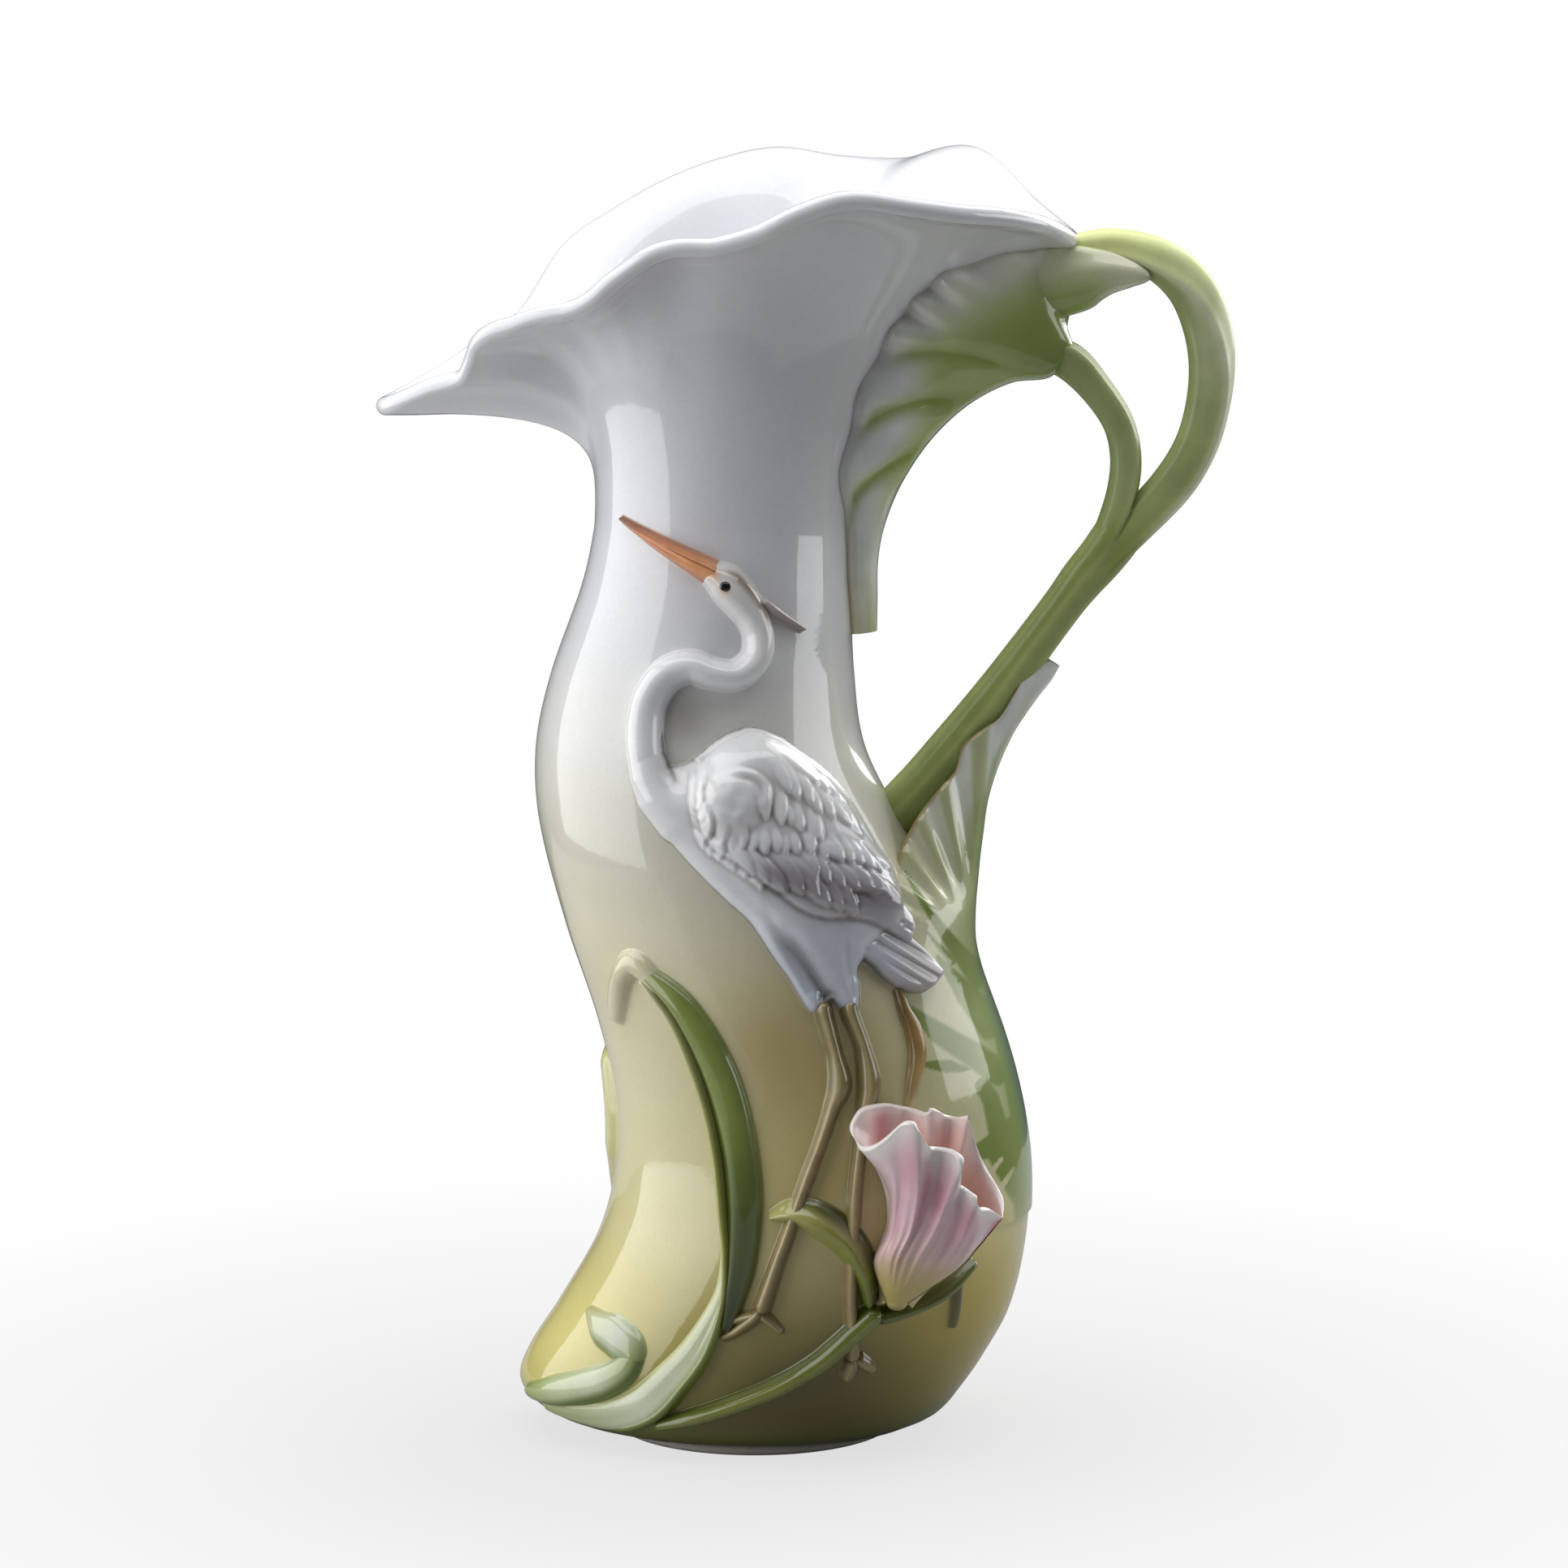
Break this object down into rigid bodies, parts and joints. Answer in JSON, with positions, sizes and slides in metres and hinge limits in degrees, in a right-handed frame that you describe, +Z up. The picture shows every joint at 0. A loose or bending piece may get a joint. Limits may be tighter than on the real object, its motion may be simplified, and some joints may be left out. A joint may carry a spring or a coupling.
{
  "type": "ewer",
  "caption": "Tall leaning porcelain ewer with a lily-shaped spouted mouth, a forked vine handle growing out of leaves, and a heron, reeds and a flower in relief.",
  "frame": {"origin": "centre of the foot ring on the surface that the ewer stands on", "axes": "+Z up, the spout points to -X and the handle to +X, the heron is on the -Y side"},
  "size_m": [0.2329, 0.1343, 0.3513],
  "materials": {
    "bare_porcelain": "unglazed, ground flat",
    "body_glaze": "glossy glaze shading from bluish white to olive",
    "white_glaze": "glossy white glaze",
    "vine_glaze": "glossy yellow-green to olive glaze",
    "leaf_glaze": "glossy pale green glaze",
    "plumage_glaze": "glossy white glaze with grey shading",
    "bill_glaze": "glossy orange glaze",
    "leg_glaze": "glossy brown-olive glaze",
    "reed_glaze": "glossy dark green glaze",
    "petal_glaze": "glossy pink glaze with white edges",
    "stalk_glaze": "glossy olive glaze"
  },
  "bodies": {
    "root": {"foot_ring": "bare_porcelain", "body": "body_glaze", "mouth": "white_glaze", "handle_outer_branch": "vine_glaze", "handle_inner_branch": "vine_glaze", "handle_stem": "vine_glaze", "upper_leaf": "leaf_glaze", "upper_leaf_curl": "leaf_glaze", "lower_leaf": "leaf_glaze", "heron_body": "plumage_glaze", "heron_wing": "plumage_glaze", "heron_tail": "plumage_glaze", "heron_thighs": "plumage_glaze", "heron_neck": "plumage_glaze", "heron_head": "plumage_glaze", "heron_bill": "bill_glaze", "heron_crest": "plumage_glaze", "heron_near_leg": "leg_glaze", "heron_far_leg": "leg_glaze", "heron_near_foot": "leg_glaze", "heron_far_foot": "leg_glaze", "reed_leaf": "reed_glaze", "reed_leaf_tip": "leaf_glaze", "back_reed_leaf": "leaf_glaze", "base_leaf": "leaf_glaze", "toe_leaf": "leaf_glaze", "toe_sprout": "leaf_glaze", "dry_stalk": "leg_glaze", "flower_front_petal": "petal_glaze", "flower_back_petal": "petal_glaze", "flower_base": "petal_glaze", "flower_stalk": "stalk_glaze", "flower_leaf": "stalk_glaze", "side_shoot": "stalk_glaze", "side_twig": "stalk_glaze"}
  },
  "joints": []
}
